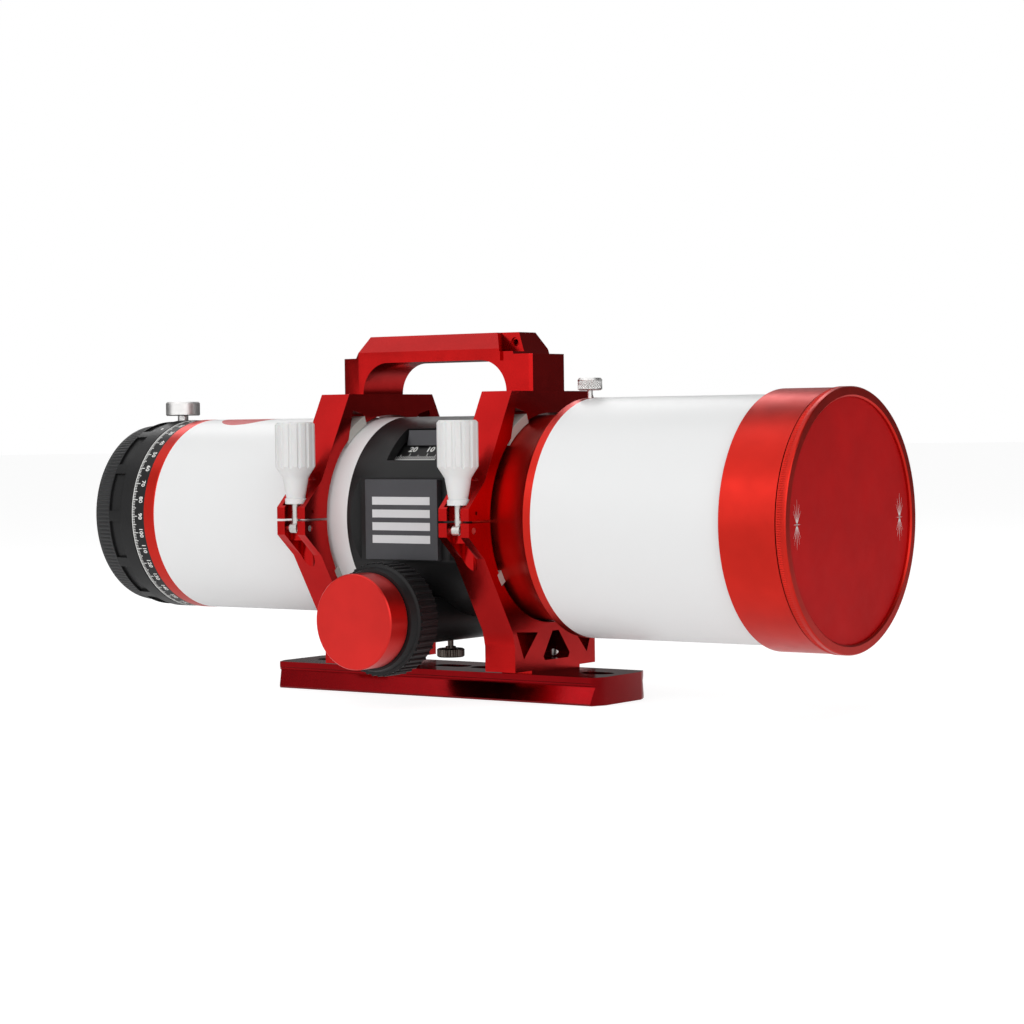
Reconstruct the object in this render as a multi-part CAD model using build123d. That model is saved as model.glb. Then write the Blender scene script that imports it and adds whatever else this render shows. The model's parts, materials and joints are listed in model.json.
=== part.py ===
from build123d import *
import os
import math

os.makedirs("parts", exist_ok=True)

# Frame: +X to the sky end, +Y to the left, +Z up, origin at the centre of the dovetail plate's base face.
AXIS_H = 82.6          # optical axis above the base face
TUBE_R = 46.5          # outside radius of the rear tube and the focuser body
TUBE_WALL = 1.5
PLATE_L = 187.0        # dovetail plate length
PLATE_T = 12.6         # dovetail plate thickness
PLATE_W = 43.6         # dovetail plate width at the widest, near its base
RING_W = 16.6          # clamp ring width along the tube
RING_X = {"rear": -44.6, "front": 48.5}
RING_BORE = 47.6       # two of these circles, set apart across the tube
RING_SPREAD = 1.6
PAD_OUT = 50.3
RING_TOP = 140.0
PAD_R = 46.55
HINGE_Y = 60.0         # clamp hinge on the left side
BOLT_Y = -61.2         # swing bolt axis on the right side
PIN_Z = 78.8           # swing bolt pivot height
LUG_TOP = 89.2
BODY_X0 = -26.7        # focuser body, rear rim
BODY_X1 = 45.0
BODY_BORE = 42.0
KNOB_X = 4.0           # focus shaft, along Y
KNOB_Z = 38.5
MODULE = 0.8
PINION_TEETH = 12
PITCH_R = MODULE * PINION_TEETH / 2
CARRIAGE_R = 38.5      # sliding tube that carries the objective
CELL_R = 46.4
LENS_R = 41.0
SLEEVE_R = 51.0        # surface that the dew shield slides on
SHIELD_R = 54.0
BAND_R = 56.4
RIM_R = 56.8
REAR_CAP_R = 43.0


def write(name, solid):
    export_step(solid, f"parts/{name}.step")


def box(x0, x1, y0, y1, z0, z1):
    return Pos((x0 + x1) / 2, (y0 + y1) / 2, (z0 + z1) / 2) * Box(x1 - x0, y1 - y0, z1 - z0)


def rod_x(r, x0, x1, y=0.0, z=AXIS_H):
    return Pos((x0 + x1) / 2, y, z) * Rot(0, 90, 0) * Cylinder(r, x1 - x0)


def rod_y(r, y0, y1, x=KNOB_X, z=KNOB_Z):
    return Pos(x, (y0 + y1) / 2, z) * Rot(90, 0, 0) * Cylinder(r, y1 - y0)


def rod_z(r, z0, z1, x, y):
    return Pos(x, y, (z0 + z1) / 2) * Cylinder(r, z1 - z0)


def tube_x(r_out, r_in, x0, x1):
    return rod_x(r_out, x0, x1) - rod_x(r_in, x0 - 1, x1 + 1)


def turned_x(points):
    # points are (x, radius) pairs of a closed outline, turned about the optical axis
    outline = make_face(Polyline(*[(x, 0, AXIS_H + r) for x, r in points], close=True))
    return revolve(outline, Axis((0, 0, AXIS_H), (1, 0, 0)), 360)


def turned_y(points):
    # points are (y, radius) pairs, turned about the focus shaft
    outline = make_face(Polyline(*[(KNOB_X + r, y, KNOB_Z) for y, r in points], close=True))
    return revolve(outline, Axis((KNOB_X, 0, KNOB_Z), (0, 1, 0)), 360)


def turned_z(points, x, y):
    # points are (radius, z) pairs, turned about an upright axis
    outline = make_face(Polyline(*[(x + r, y, z) for r, z in points], close=True))
    return revolve(outline, Axis((x, y, 0), (0, 0, 1)), 360)


def slab_x(points, x0, x1):
    # points are (y, z) pairs of an outline seen along the tube
    outline = make_face(Polyline(*[(x0, y, z) for y, z in points], close=True))
    return extrude(outline, x1 - x0, dir=(1, 0, 0))


def slab_y(points, y0, y1):
    # points are (x, z) pairs of an outline seen from the side
    outline = make_face(Polyline(*[(x, y0, z) for x, z in points], close=True))
    return extrude(outline, y1 - y0, dir=(0, 1, 0))


def slab_z(points, z0, z1):
    outline = make_face(Polyline(*[(x, y, z0) for x, y in points], close=True))
    return extrude(outline, z1 - z0, dir=(0, 0, 1))


def mirrored(points):
    # a half outline on the right side, closed by its mirror image on the left
    return points + [(-y, z) for y, z in reversed(points)]


def around_x(make, count, start=0.0):
    # copies of one solid turned round the optical axis
    solid = None
    for i in range(count):
        turned = Pos(0, 0, AXIS_H) * Rot(start + 360.0 * i / count, 0, 0) * Pos(0, 0, -AXIS_H) * make
        solid = turned if solid is None else solid + turned
    return solid


# ---------------------------------------------------------------- dovetail plate
half_w = PLATE_W / 2
plate_profile = mirrored([
    (-half_w + 0.8, 0.0),
    (-half_w, 0.9),
    (-half_w + 2.6, 8.4),
    (-half_w + 1.3, 8.9),
    (-half_w + 1.3, 9.7),
    (-half_w + 0.8, 10.0),
    (-half_w + 0.8, PLATE_T),
])
plate = slab_x(plate_profile, -PLATE_L / 2, PLATE_L / 2)
half_l = PLATE_L / 2
for sx in (-1, 1):
    for sy in (-1, 1):
        corner = [
            (sx * (half_l + 1), sy * 13.8),
            (sx * half_l, sy * 14.2),
            (sx * (half_l - 3.6), sy * (half_w + 0.4)),
            (sx * (half_l + 1), sy * (half_w + 0.4)),
        ]
        plate -= slab_z(corner, -1, PLATE_T + 1)
RING_BOLT_Y = 13.0
FOOT_BOLTS = [(RING_X[n], s * RING_BOLT_Y) for n in RING_X for s in (-1, 1)]
for x, y in FOOT_BOLTS:
    plate -= rod_z(3.3, -1, PLATE_T + 1, x, y)
    plate -= rod_z(5.4, -1, 6.6, x, y)
# slots for other hardware: a wide upper step over a narrower slot that goes through
SLOTS = [(20.5, 22.0), (79.5, 16.0), (-75.0, 16.0)]
for x, length in SLOTS:
    straight = length / 2 - 5.2
    for z0, z1, r in ((-1, PLATE_T + 1, 3.3), (PLATE_T - 4.4, PLATE_T + 1, 5.2)):
        plate -= box(x - straight, x + straight, -r, r, z0, z1)
        plate -= rod_z(r, z0, z1, x - straight, 0)
        plate -= rod_z(r, z0, z1, x + straight, 0)
# blind step near the middle with one through hole
plate -= box(-6.5, 2.5, -5.2, 5.2, PLATE_T - 4.4, PLATE_T + 1)
plate -= rod_z(5.2, PLATE_T - 4.4, PLATE_T + 1, -6.5, 0) + rod_z(5.2, PLATE_T - 4.4, PLATE_T + 1, 2.5, 0)
plate -= rod_z(3.3, -1, PLATE_T + 1, -6.5, 0)
# 1/4-20 tripod hole, minor diameter
TRIPOD_R = 2.6
plate -= rod_z(TRIPOD_R, -1, PLATE_T + 1, -26.0, 0)
write("dovetail_plate", plate)

bolts = None
for x, y in FOOT_BOLTS:
    bolt = rod_z(5.0, 0.6, 6.6, x, y) + rod_z(3.0, 6.5, 23.0, x, y)
    bolt -= rod_z(2.6, -1, 3.6, x, y)
    bolts = bolt if bolts is None else bolts + bolt
write("plate_bolts", bolts)

# ---------------------------------------------------------------- clamp rings
FOOT_Z = PLATE_T
PIN_R = 1.5
HINGE_PIN_R = 2.0
KNUCKLE_R = 5.6
SPLIT = 0.5
RELIEF_Y = -54.2
BOLT_R = 2.0


def bolt_slot(x):
    slot = rod_z(3.8, 46.0, 96.0, x, BOLT_Y)
    return slot + box(x - 3.8, x + 3.8, -80, BOLT_Y, 46.0, 96.0)


def ring_bore(x0, x1):
    bore = rod_x(RING_BORE, x0, x1, -RING_SPREAD) + rod_x(RING_BORE, x0, x1, RING_SPREAD)
    return bore + box(x0, x1, -RING_SPREAD, RING_SPREAD, AXIS_H - RING_BORE, AXIS_H + RING_BORE)


LOWER_PADS = (-122.0, 122.0)


def pad_block(x, angle, r_in, r_out, width, length):
    block = box(x - length / 2, x + length / 2, -width / 2, width / 2, AXIS_H + 40, AXIS_H + 60)
    block &= tube_x(r_out, r_in, x - length, x + length)
    return Pos(0, 0, AXIS_H) * Rot(angle, 0, 0) * Pos(0, 0, -AXIS_H) * block


def top_notch(x0, x1, s, gap=0.0):
    # tapered notch through the upper half that seats a pad
    outline = [(-29.1 + gap, 132.5), (-20.3 - gap, 130.5), (-18.0 - gap, 124.0), (-33.8 + gap, 113.8)]
    return slab_x([(-s * y, z) for y, z in outline], x0, x1)


def ring_lower(x):
    x0 = x - RING_W / 2
    x1 = x + RING_W / 2
    right = [
        (-64.9, AXIS_H - SPLIT),
        (-64.9, 75.9),
        (-53.7, 66.1),
        (-33.4, 32.6),
        (-31.7, 25.6),
        (-31.7, FOOT_Z + 1.6),
        (-19.0, FOOT_Z + 1.6),
        (-19.0, FOOT_Z),
    ]
    left = [(-y, z) for y, z in reversed(right[2:])] + [(54.6, 72.0), (54.6, AXIS_H - SPLIT)]
    body = slab_x(right + left, x0, x1)
    knuckles = rod_x(KNUCKLE_R, x0, x1, HINGE_Y, AXIS_H)
    knuckles += box(x0, x1, 53.0, HINGE_Y, AXIS_H - KNUCKLE_R, AXIS_H - SPLIT)
    knuckles += slab_x([(54.0, 72.0), (54.0, 77.5), (HINGE_Y, 77.0)], x0, x1)
    knuckles -= box(x0 - 1, x1 + 1, 52.0, HINGE_Y - 4.0, AXIS_H - SPLIT, AXIS_H + 10)
    body += knuckles
    body -= rod_x(KNUCKLE_R + 0.6, x - 3.4, x + 3.4, HINGE_Y, AXIS_H)
    body -= box(x - 3.4, x + 3.4, 54.0, 70.0, AXIS_H - SPLIT, AXIS_H + 12)
    body -= rod_x(HINGE_PIN_R + 0.02, x0 - 1, x1 + 1, HINGE_Y, AXIS_H)
    body -= ring_bore(x0 - 1, x1 + 1)
    body -= bolt_slot(x)
    # the slot runs deeper below the pivot
    body -= rod_z(3.8, 46.0, 73.0, x, RELIEF_Y) + box(x - 3.8, x + 3.8, -80, RELIEF_Y, 46.0, 73.0)
    body -= rod_x(PIN_R + 0.02, x - 7.0, x1 + 1, BOLT_Y, PIN_Z)
    # truss windows in the foot
    body -= slab_x([(-30.4, 32.3), (-13.9, 31.2), (-24.9, 19.7)], x0 - 1, x1 + 1)
    body -= slab_x([(30.4, 32.3), (24.9, 19.7), (13.9, 31.2)], x0 - 1, x1 + 1)
    centre_window = [(-2.4, 31.2), (2.4, 31.2), (11.0, 20.4), (9.8, 18.2), (-8.6, 18.2), (-9.8, 20.0)]
    body -= slab_x(centre_window, x0 - 1, x1 + 1)
    for s in (-1, 1):
        body -= rod_z(3.02, FOOT_Z - 1, 23.4, x, s * RING_BOLT_Y)
    for a in LOWER_PADS:
        body -= pad_block(x, a, 44.0, PAD_OUT + 0.05, 6.3, RING_W + 2)
    return body


def ring_upper(x):
    x0 = x - RING_W / 2
    x1 = x + RING_W / 2
    right = [
        (-64.9, AXIS_H + SPLIT),
        (-64.9, LUG_TOP - 0.8),
        (-64.1, LUG_TOP),
        (-62.6, LUG_TOP + 1.4),
        (-52.7, 100.2),
        (-34.0, 135.6),
        (-31.6, RING_TOP),
    ]
    # the land round the bolt is flat so the knob can bear on it
    left = [(31.6, RING_TOP), (34.0, 135.6), (52.7, 100.2), (54.6, 90.0), (54.6, AXIS_H + SPLIT)]
    body = slab_x(right + left, x0, x1)
    knuckle = rod_x(KNUCKLE_R, x - 3.0, x + 3.0, HINGE_Y, AXIS_H)
    knuckle += slab_x([
        (53.0, AXIS_H + SPLIT),
        (HINGE_Y, AXIS_H + SPLIT),
        (HINGE_Y, AXIS_H + KNUCKLE_R),
        (53.0, AXIS_H + KNUCKLE_R + 3.0),
    ], x - 3.0, x + 3.0)
    body += knuckle
    for sign in (-1, 1):
        a = x + sign * 3.4
        b = x + sign * (RING_W / 2 + 1)
        body -= rod_x(KNUCKLE_R + 0.6, min(a, b), max(a, b), HINGE_Y, AXIS_H)
    body -= rod_x(HINGE_PIN_R + 0.07, x0 - 1, x1 + 1, HINGE_Y, AXIS_H)
    body -= ring_bore(x0 - 1, x1 + 1)
    for s in (-1, 1):
        body -= top_notch(x0 - 1, x1 + 1, s)
    body -= bolt_slot(x)
    body -= rod_z(5.9, LUG_TOP, 110.0, x, BOLT_Y) + box(x - 5.9, x + 5.9, -80.0, BOLT_Y, LUG_TOP, 110.0)
    body -= rod_z(9.9, 100.6, 140.0, x, BOLT_Y)
    body -= rod_x(0.85, x1 - 2.5, x1 + 1, -59.2, AXIS_H + 3.8)
    hx = HANDLE_BOLT_X["front" if x > 0 else "rear"]
    for s in (-1, 1):
        body -= rod_z(2.02, 131.0, RING_TOP + 1, hx, s * 8.0)
    return body


HANDLE_BOLT_X = {"rear": -48.4, "front": 49.0}
for name, x in RING_X.items():
    write(f"{name}_ring_lower", ring_lower(x))
    write(f"{name}_ring_upper", ring_upper(x))

hinge_pins = None
clamp_pins = None
lower_pads = None
upper_pads = None
for x in RING_X.values():
    hinge_pin = rod_x(HINGE_PIN_R, x - RING_W / 2 - 0.2, x + RING_W / 2 + 0.2, HINGE_Y, AXIS_H)
    clamp_pin = rod_x(PIN_R, x - 6.8, x + RING_W / 2 - 0.3, BOLT_Y, PIN_Z)
    hinge_pins = hinge_pin if hinge_pins is None else hinge_pins + hinge_pin
    clamp_pins = clamp_pin if clamp_pins is None else clamp_pins + clamp_pin
    for a in LOWER_PADS:
        pad = pad_block(x, a, PAD_R, PAD_OUT, 6.0, RING_W - 0.6)
        lower_pads = pad if lower_pads is None else lower_pads + pad
    for s in (-1, 1):
        pad = top_notch(x - RING_W / 2 + 0.3, x + RING_W / 2 - 0.3, s, 0.04)
        pad &= tube_x(51.2, PAD_R + 0.35, x - RING_W, x + RING_W)
        upper_pads = pad if upper_pads is None else upper_pads + pad
write("hinge_pins", hinge_pins)
write("clamp_pins", clamp_pins)
write("lower_ring_pads", lower_pads)
write("upper_ring_pads", upper_pads)

# ---------------------------------------------------------------- swing bolts and clamp knobs
KNOB_FOOT = LUG_TOP + 0.75
KNOB_TOP = 127.3


def swing_bolt(x):
    bolt = rod_z(BOLT_R, PIN_Z + 1.0, 118.0, x, BOLT_Y)
    bolt += rod_x(2.8, x - 2.0, x + 2.0, BOLT_Y, PIN_Z)
    bolt -= rod_x(PIN_R + 0.4, x - 3, x + 3, BOLT_Y, PIN_Z)
    gap = PIN_R + 0.4
    bolt -= box(x - 3, x + 3, BOLT_Y - gap, BOLT_Y + gap, PIN_Z - 5, PIN_Z)
    return bolt


def clamp_knob(x):
    profile = [
        (0, KNOB_FOOT),
        (4.9, KNOB_FOOT),
        (4.95, 92.3),
        (4.3, 92.6),
        (5.9, 101.9),
        (9.15, 107.0),
        (9.15, KNOB_TOP - 1.1),
        (8.1, KNOB_TOP),
        (0, KNOB_TOP),
    ]
    knob = turned_z(profile, x, BOLT_Y)
    for i in range(14):
        a = math.radians(360.0 * (i + 0.5) / 14)
        knob -= rod_z(1.05, 104.0, KNOB_TOP + 1, x + 9.55 * math.cos(a), BOLT_Y + 9.55 * math.sin(a))
    knob -= rod_z(BOLT_R + 0.05, KNOB_FOOT - 1, 118.4, x, BOLT_Y)
    return knob


for name, x in RING_X.items():
    write(f"{name}_swing_bolt", swing_bolt(x))
    write(f"{name}_clamp_knob", clamp_knob(x))

# ---------------------------------------------------------------- handle
HANDLE_TOP = 167.0
side = [
    (-44.0, 159.6),
    (-42.0, HANDLE_TOP),
    (42.0, HANDLE_TOP),
    (44.0, 159.6),
    (45.0, 156.9),
    (54.7, 156.9),
    (54.7, RING_TOP),
    (-54.7, RING_TOP),
    (-54.7, 156.9),
    (-45.6, 156.9),
]
handle = slab_y(side, -15.0, 15.0)
# finger opening with round ends
GRIP_R = 14.45
for x in (27.3, -26.8):
    handle -= rod_y(GRIP_R, -16, 16, x, RING_TOP)
handle -= box(-26.8, 27.3, -16, 16, RING_TOP - 1, RING_TOP + GRIP_R)
for s in (-1, 1):
    shoulder = [(s * 15.0, 159.5), (s * 7.6, HANDLE_TOP + 0.45), (s * 16, HANDLE_TOP + 1), (s * 16, 159.5)]
    handle -= slab_x(shoulder, -70, 70)
    for sx in (-1, 1):
        taper = [(sx * 44.0, s * 15.0), (sx * 53.4, s * 13.7), (sx * 54.7, s * 12.3), (sx * 56.0, s * 12.3)]
        taper += [(sx * 56.0, s * 17.0), (sx * 44.0, s * 17.0)]
        handle -= slab_z(taper, RING_TOP - 1, 160)
# accessory shoe recess on the right of the sky end
recess = [(38.4, -15.6), (32.1, -8.0), (32.1, -6.2), (60.0, -2.6), (60.0, -15.6)]
handle -= slab_z(recess, 158.2, HANDLE_TOP + 1)
handle -= box(38.4, 46.0, -15.6, -13.6, 154.0, 160.0)
SHOE_HOLE = (40.0, 162.6)
SHOE_FACE = -4.6
handle -= rod_y(2.1, -9.0, SHOE_FACE, SHOE_HOLE[0], SHOE_HOLE[1])
handle -= rod_y(1.25, SHOE_FACE - 1, SHOE_FACE + 6.0, SHOE_HOLE[0], SHOE_HOLE[1])
for x in HANDLE_BOLT_X.values():
    for s in (-1, 1):
        handle -= rod_z(2.3, RING_TOP - 1, 158, x, s * 8.0)
        handle -= rod_z(3.7, 152.4, 168, x, s * 8.0)
write("handle", handle)

handle_bolts = None
for x in HANDLE_BOLT_X.values():
    for s in (-1, 1):
        bolt = rod_z(3.4, 152.4, 156.4, x, s * 8.0) + rod_z(2.0, 131.5, 152.5, x, s * 8.0)
        bolt -= rod_z(1.6, 154.2, 160, x, s * 8.0)
        handle_bolts = bolt if handle_bolts is None else handle_bolts + bolt
write("handle_bolts", handle_bolts)

# ---------------------------------------------------------------- rear tube and its fittings
TUBE_X0 = -147.4
write("rear_tube", tube_x(TUBE_R, TUBE_R - TUBE_WALL, TUBE_X0, BODY_X0))

baffle_set = None
for x, r in ((-82.0, 35.0), (-108.0, 33.5), (-134.0, 32.0)):
    step = tube_x(TUBE_R - TUBE_WALL - 0.02, TUBE_R - TUBE_WALL - 2.0, x - 4.0, x)
    baffle = step + turned_x([(x - 1.2, r), (x, r + 0.5), (x, 44.0), (x - 1.2, 44.0)])
    baffle_set = baffle if baffle_set is None else baffle_set + baffle
write("baffles", baffle_set)

RED_X0 = -154.0
SCALE_X0 = -162.0
rear_ring = turned_x([
    (TUBE_X0, 44.0), (TUBE_X0, TUBE_R), (TUBE_X0 - 0.5, TUBE_R + 0.1), (RED_X0, TUBE_R + 0.1), (RED_X0, 40.0),
    (-140.0, 40.0), (-140.0, 44.95), (TUBE_X0 + 0.02, 44.95),
])
write("rear_collar", rear_ring)
write("angle_scale_ring", tube_x(TUBE_R - 0.1, 40.0, SCALE_X0, RED_X0 - 0.02))
# fixed spigot that the rotator turns on
spigot = tube_x(39.95, 34.0, -166.0, -141.0) + tube_x(38.0, 34.0, -178.0, -165.0)
write("rotator_spigot", spigot)

# ---------------------------------------------------------------- rotator (turns about the optical axis)
ROT_X0 = -178.48
GRIP_X0 = -183.4
REAR_BORE = 31.5
rotator = turned_x([
    (SCALE_X0 - 0.35, 40.4), (SCALE_X0 - 0.35, TUBE_R - 0.4), (SCALE_X0 - 0.8, TUBE_R), (-169.5, TUBE_R),
    (-169.9, 46.1), (ROT_X0 + 0.4, 45.8), (ROT_X0, 45.4), (ROT_X0, 38.35), (-166.4, 38.35), (-166.4, 40.4),
])
# shallow grip pockets with narrow lands between them
SECTOR_HALF = 60 * math.sin(math.radians(12))
sector = [(0, AXIS_H), (-SECTOR_HALF, AXIS_H + 60), (SECTOR_HALF, AXIS_H + 60)]
grip_pocket = slab_x(sector, -177.7, -170.7) & tube_x(50.0, 44.7, -177.7, -170.7)
rotator -= around_x(grip_pocket, 12, 15.0)
LOCK_X = -170.0
rotator -= rod_z(3.0, AXIS_H + 30, AXIS_H + 50, LOCK_X, 0)
write("rotator_ring", rotator)
write("rear_adapter", tube_x(41.6, REAR_BORE, GRIP_X0, ROT_X0 - 0.02))
lock = turned_z([(0, 131.4), (8.0, 131.4), (8.5, 131.9), (8.5, 137.6), (7.8, 138.3), (0, 138.3)], LOCK_X, 0)
lock += rod_z(2.65, AXIS_H + 38.4, 131.5, LOCK_X, 0)
write("rotator_lock_screw", lock)

cap_outer = turned_x([
    (-178.8, 42.0), (-178.8, 44.2), (-179.2, 44.6), (-188.6, 43.9), (-189.1, REAR_CAP_R), (-189.1, 0),
    (-184.0, 0), (-184.0, 42.0),
])
cap_outer -= rod_x(38.0, -190.0, -187.9)
write("rear_cap", cap_outer)

# ---------------------------------------------------------------- focuser body
body = tube_x(TUBE_R, BODY_BORE, BODY_X0, BODY_X1)
body += tube_x(TUBE_R - TUBE_WALL - 0.02, BODY_BORE, -38.0, BODY_X0 + 0.5)
body -= rod_x(45.0, 33.0, BODY_X1 + 1)
FLAT_Y = 42.6
for s in (-1, 1):
    flat = [
        (-25.5, s * TUBE_R * 1.02), (-21.5, s * FLAT_Y), (29.0, s * FLAT_Y), (33.0, s * TUBE_R * 1.02),
        (33.0, s * 60), (-25.5, s * 60),
    ]
    body -= slab_z(flat, AXIS_H - 24, AXIS_H + 24)
WINDOW_ANGLE = 41.5
INDEX_X0 = -8.2
window = box(-9.6, 18.0, -10.8, 10.8, AXIS_H + 36, AXIS_H + 60)
body -= Pos(0, 0, AXIS_H) * Rot(WINDOW_ANGLE, 0, 0) * Pos(0, 0, -AXIS_H) * window
body -= rod_y(6.3, -6.0, 6.0)
body -= rod_y(3.4, -30.0, 30.0)
body -= rod_z(1.75, 20.0, 36.5, KNOB_X, -9.5)
write("focuser_body", body)

for side_name, s in (("right", -1), ("left", 1)):
    y0 = min(s * (FLAT_Y - 0.05), s * 45.6)
    y1 = max(s * (FLAT_Y - 0.05), s * 45.6)
    panel = box(-16.6, 24.8, y0 + (0.05 if s > 0 else 0), y1 - (0.05 if s < 0 else 0), 64.4, 100.8)
    write(f"{side_name}_side_panel", panel)

# cursor block over the upper half of the scale, with an upright face
index_profile = [(-24.3, 115.9), (-22.7, 122.9), (-20.9, 122.2), (-20.9, 119.6), (-22.2, 116.6)]
write("window_index_bar", slab_x(index_profile, INDEX_X0, 18.0))

# linear bearings between the body and the sliding tube
guide = tube_x(BODY_BORE - 0.02, CARRIAGE_R + 0.35, -40, 50)
bearing = around_x(box(-24.0, -8.0, -4.0, 4.0, AXIS_H + 30, AXIS_H + 60) & guide, 3)
bearing += around_x(box(16.0, 32.0, -4.0, 4.0, AXIS_H + 30, AXIS_H + 60) & guide, 3)
write("linear_bearings", bearing)

housing = rod_y(13.2, -38.0, 38.0) + rod_y(9.6, -50.6, 51.4)
housing -= rod_x(TUBE_R + 0.02, -40, 50)
housing -= box(-20, 30, -37.9, 37.9, 47.0, 60)
housing -= rod_y(6.3, -6.0, 6.0)
housing -= rod_y(3.4, -52.0, 52.0)
housing -= rod_y(6.5, -38.2, -30.0) + rod_y(6.5, 30.0, 38.2)
housing -= rod_z(1.75, 20.0, 36.5, KNOB_X, -9.5)
write("pinion_housing", housing)
bearings = None
for s in (-1, 1):
    a, b = min(s * 30.2, s * 38.0), max(s * 30.2, s * 38.0)
    race = rod_y(6.48, a, b) - rod_y(3.06, a - 1, b + 1)
    bearings = race if bearings is None else bearings + race
write("shaft_bearings", bearings)

focus_lock_head = [(0, 17.7), (5.9, 17.7), (6.4, 18.2), (6.4, 21.3), (6.0, 21.7), (0, 21.7)]
focus_lock = turned_z(focus_lock_head, KNOB_X, -9.5)
focus_lock += rod_z(1.35, 21.6, 32.0, KNOB_X, -9.5)
write("focus_lock_screw", focus_lock)

# ---------------------------------------------------------------- focus shaft and knobs


def involute(a):
    return math.tan(a) - a


def pinion_outline(x0, z0):
    pressure = math.radians(20)
    base = PITCH_R * math.cos(pressure)
    tip = PITCH_R + 0.85 * MODULE
    root = PITCH_R - 1.0 * MODULE
    half = 0.47 * math.pi / PINION_TEETH + involute(pressure)
    flank = []
    for i in range(6):
        r = base + (tip - base) * i / 5
        flank.append((r, half - involute(math.acos(min(1.0, base / r)))))
    points = []
    for tooth in range(PINION_TEETH):
        centre = math.pi / 2 + 2 * math.pi * tooth / PINION_TEETH
        side_a = [(root, half)] + flank
        for r, a in side_a:
            points.append((x0 + r * math.cos(centre - a), z0 + r * math.sin(centre - a)))
        for r, a in reversed(side_a):
            points.append((x0 + r * math.cos(centre + a), z0 + r * math.sin(centre + a)))
    return points


shaft = rod_y(3.0, -66.0, 60.0)
shaft += slab_y(pinion_outline(KNOB_X, KNOB_Z), -4.5, 4.5)
shaft -= rod_y(1.6, -70.0, 64.0)
write("pinion_shaft", shaft)

coarse = turned_y([
    (-51.2, 3.02), (-51.2, 24.0), (-51.8, 24.9), (-64.0, 24.9), (-64.4, 23.6), (-68.0, 22.6), (-68.0, 20.0),
    (-64.5, 20.0), (-64.5, 3.02),
])
for i in range(48):
    a = math.radians(7.5 * i)
    rib = rod_y(0.75, -63.4, -52.0, KNOB_X + 24.9 * math.cos(a), KNOB_Z + 24.9 * math.sin(a))
    coarse += rib
write("coarse_knob", coarse)

fine = turned_y([(-68.4, 0), (-68.4, 21.0), (-69.0, 21.4), (-80.2, 21.4), (-80.8, 20.9), (-80.8, 0)])
fine += rod_y(4.4, -68.5, -66.4)
write("fine_knob", fine)
fine_shaft = rod_y(1.5, -66.38, 61.0)
write("fine_shaft", fine_shaft)

left_knob = turned_y([
    (52.0, 3.02), (52.0, 20.6), (52.6, 21.4), (65.0, 21.4), (66.0, 20.4), (66.0, 0), (61.5, 0), (61.5, 3.02),
])
for i in range(42):
    a = math.radians(360.0 * i / 42)
    left_knob += rod_y(0.7, 53.6, 64.0, KNOB_X + 21.4 * math.cos(a), KNOB_Z + 21.4 * math.sin(a))
write("left_coarse_knob", left_knob)

# ---------------------------------------------------------------- sliding tube, rack and scale
RACK_PITCH = math.pi * MODULE
RACK_LINE = KNOB_Z + PITCH_R
rack_profile = []
teeth = 18
start = KNOB_X - RACK_PITCH * (teeth / 2)
for i in range(teeth):
    c = start + RACK_PITCH * (i + 0.5)
    lean = math.tan(math.radians(20))
    half_pitch = 0.22 * RACK_PITCH
    low = RACK_LINE - 0.55 * MODULE
    high = RACK_LINE + 1.15 * MODULE
    rack_profile += [
        (c - half_pitch - lean * 1.15 * MODULE, high),
        (c - half_pitch + lean * 0.55 * MODULE, low),
        (c + half_pitch - lean * 0.55 * MODULE, low),
        (c + half_pitch + lean * 1.15 * MODULE, high),
    ]
rack_x0 = rack_profile[0][0] - 0.8
rack_x1 = rack_profile[-1][0] + 0.8
rack_profile = [(rack_x0, 47.0), (rack_x0, RACK_LINE + 1.15 * MODULE)] + rack_profile
rack_profile += [(rack_x1, RACK_LINE + 1.15 * MODULE), (rack_x1, 47.0)]
write("focus_rack", slab_y(rack_profile, -3.0, 3.0))

carriage = tube_x(CARRIAGE_R, 36.5, -50.0, 84.0) + tube_x(45.0, 36.5, 80.0, 84.0)
carriage -= box(rack_x0 - 0.05, rack_x1 + 0.05, -3.02, 3.02, 40.0, 47.0)
SCALE_ANGLE = WINDOW_ANGLE
seat = box(-26.0, 34.0, -5.0, 5.0, AXIS_H + 37.6, AXIS_H + 45)
carriage -= Pos(0, 0, AXIS_H) * Rot(SCALE_ANGLE, 0, 0) * Pos(0, 0, -AXIS_H) * seat
write("sliding_tube", carriage)
strip = box(-25.9, 33.9, -4.9, 4.9, AXIS_H + 37.6, AXIS_H + 39.9)
write("focus_scale", Pos(0, 0, AXIS_H) * Rot(SCALE_ANGLE, 0, 0) * Pos(0, 0, -AXIS_H) * strip)

# ---------------------------------------------------------------- objective
cell = turned_x([
    (84.05, 38.0), (84.05, 45.6), (86.0, CELL_R), (118.0, CELL_R), (118.0, LENS_R + 0.4),
    (87.5, LENS_R + 0.4), (87.5, 38.0),
])
write("objective_cell", cell)


def lens(x_back, x_front, back_sag, front_sag):
    # sag is positive where the face bulges out and negative where it is hollow
    solid = rod_x(LENS_R, x_back - max(back_sag, 0), x_front + max(front_sag, 0))
    for x_edge, sag, out in ((x_front, front_sag, 1), (x_back, back_sag, -1)):
        radius = (LENS_R ** 2 + sag ** 2) / (2 * abs(sag))
        turn = 1 if sag > 0 else -1
        ball = Pos(x_edge + out * (sag - turn * radius), 0, AXIS_H) * Sphere(radius)
        solid = solid & ball if sag > 0 else solid - ball
    return solid


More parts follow.
